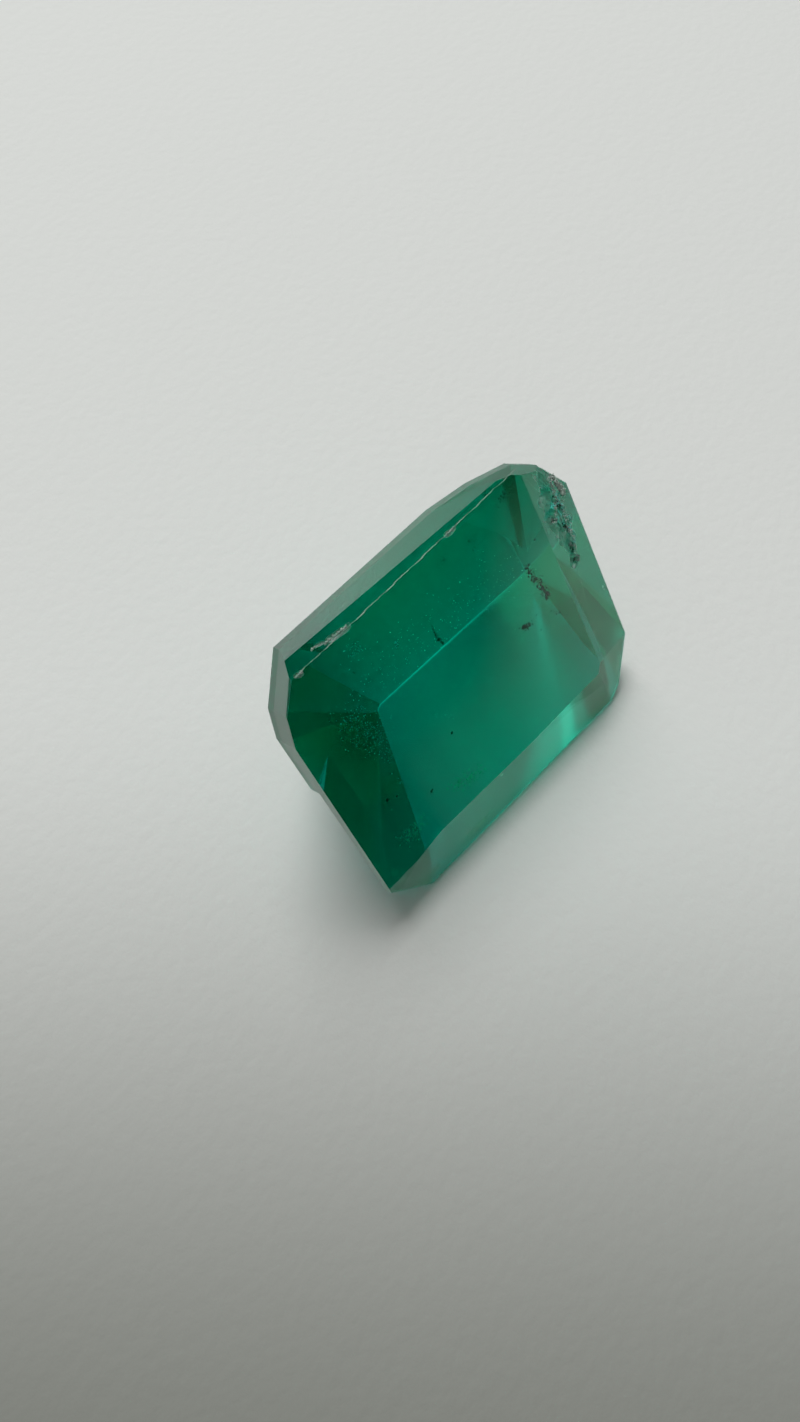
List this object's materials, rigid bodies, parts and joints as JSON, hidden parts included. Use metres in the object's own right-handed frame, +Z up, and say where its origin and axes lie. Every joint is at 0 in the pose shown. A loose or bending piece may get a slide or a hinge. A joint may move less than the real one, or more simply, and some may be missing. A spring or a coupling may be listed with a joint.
{
  "type": "step-cut emerald gemstone",
  "caption": "Large hand-cut green gemstone with a flat table, stepped crown and keeled pavilion, lying on one long side.",
  "frame": {"origin": "on the surface it lies on, under the middle of the stone's box", "axes": "+Z up, +X along the stone's long side, the table leaning towards -Y"},
  "size_m": [0.0228, 0.0152, 0.0165],
  "materials": {
    "emerald": "polished flat facets on a deep green, slightly included stone, with worn and chipped edges"
  },
  "bodies": {
    "root": {"cut_emerald": "emerald"}
  },
  "joints": []
}
